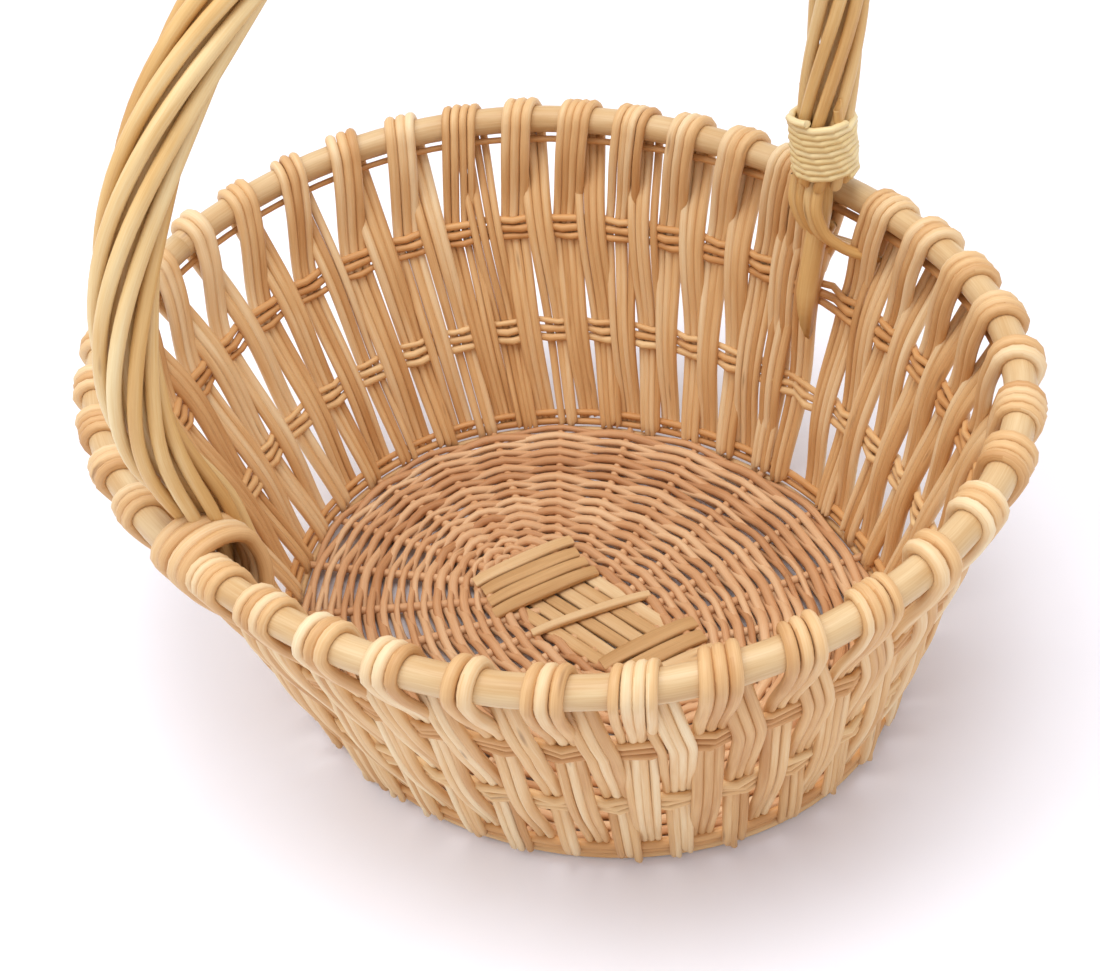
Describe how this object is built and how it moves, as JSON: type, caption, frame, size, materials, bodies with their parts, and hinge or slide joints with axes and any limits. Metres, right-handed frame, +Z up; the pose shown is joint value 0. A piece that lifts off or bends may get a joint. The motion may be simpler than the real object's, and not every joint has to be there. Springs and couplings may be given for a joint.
{
  "type": "fruit basket",
  "caption": "Oval open-weave willow fruit basket: flaring wall of doubled stakes over a peeled hoop, woven oval base and a fixed, twisted bow handle.",
  "frame": {"origin": "middle of the base's underside, on the surface the basket stands on", "axes": "+X along the long axis of the oval, +Y along its short axis towards the lashed foot of the handle, +Z up"},
  "size_m": [0.3504, 0.2931, 0.3381],
  "materials": {
    "peeled_hoop": "peeled willow rod, smooth, pale honey, satin",
    "band_rods": "thin willow rods, golden tan, satin",
    "stake_rods": "thin willow rods, golden tan with paler and redder rods among them, satin",
    "base_weavers": "thin willow weavers, pinkish tan, dull",
    "split_sticks": "split willow sticks, pale, dull cut faces",
    "handle_core_rod": "thick willow rod, tan, satin",
    "handle_strands": "thin willow rods, pale honey, satin",
    "lashing_cane": "split cane, pale, slightly glossy"
  },
  "bodies": {
    "root": {"rim_hoop": "peeled_hoop", "under_rim_rod": "band_rods", "upper_band": "band_rods", "lower_band": "band_rods", "base_wale": "band_rods", "base_weave": "base_weavers", "slath_long_sticks": "split_sticks", "slath_cross_sticks_a": "split_sticks", "slath_cross_sticks_b": "split_sticks", "handle_core": "handle_core_rod", "handle_lashing": "lashing_cane", "handle_strand_1": "handle_strands", "handle_strand_2": "handle_strands", "handle_strand_3": "handle_strands", "handle_strand_4": "handle_strands", "handle_strand_5": "handle_strands", "handle_strand_6": "handle_strands", "handle_strand_7": "handle_strands", "handle_strand_8": "handle_strands", "stake_group_01": "stake_rods", "stake_group_02": "stake_rods", "stake_group_03": "stake_rods", "stake_group_04": "stake_rods", "stake_group_05": "stake_rods", "stake_group_06": "stake_rods", "stake_group_07": "stake_rods", "stake_group_08": "stake_rods", "stake_group_09": "stake_rods", "stake_group_10": "stake_rods", "stake_group_11": "stake_rods", "stake_group_12": "stake_rods", "stake_group_13": "stake_rods", "stake_group_14": "stake_rods", "stake_group_15": "stake_rods", "stake_group_16": "stake_rods", "stake_group_17": "stake_rods", "stake_group_18": "stake_rods", "stake_group_19": "stake_rods", "stake_group_20": "stake_rods", "stake_group_21": "stake_rods", "stake_group_22": "stake_rods", "stake_group_23": "stake_rods", "stake_group_24": "stake_rods", "stake_group_25": "stake_rods", "stake_group_26": "stake_rods", "stake_group_27": "stake_rods", "stake_group_28": "stake_rods", "stake_group_29": "stake_rods", "stake_group_30": "stake_rods", "stake_group_31": "stake_rods", "stake_group_32": "stake_rods", "stake_group_33": "stake_rods", "stake_group_34": "stake_rods", "stake_group_35": "stake_rods", "stake_group_36": "stake_rods", "stake_group_37": "stake_rods", "stake_group_38": "stake_rods", "stake_group_39": "stake_rods", "stake_group_40": "stake_rods"}
  },
  "joints": []
}
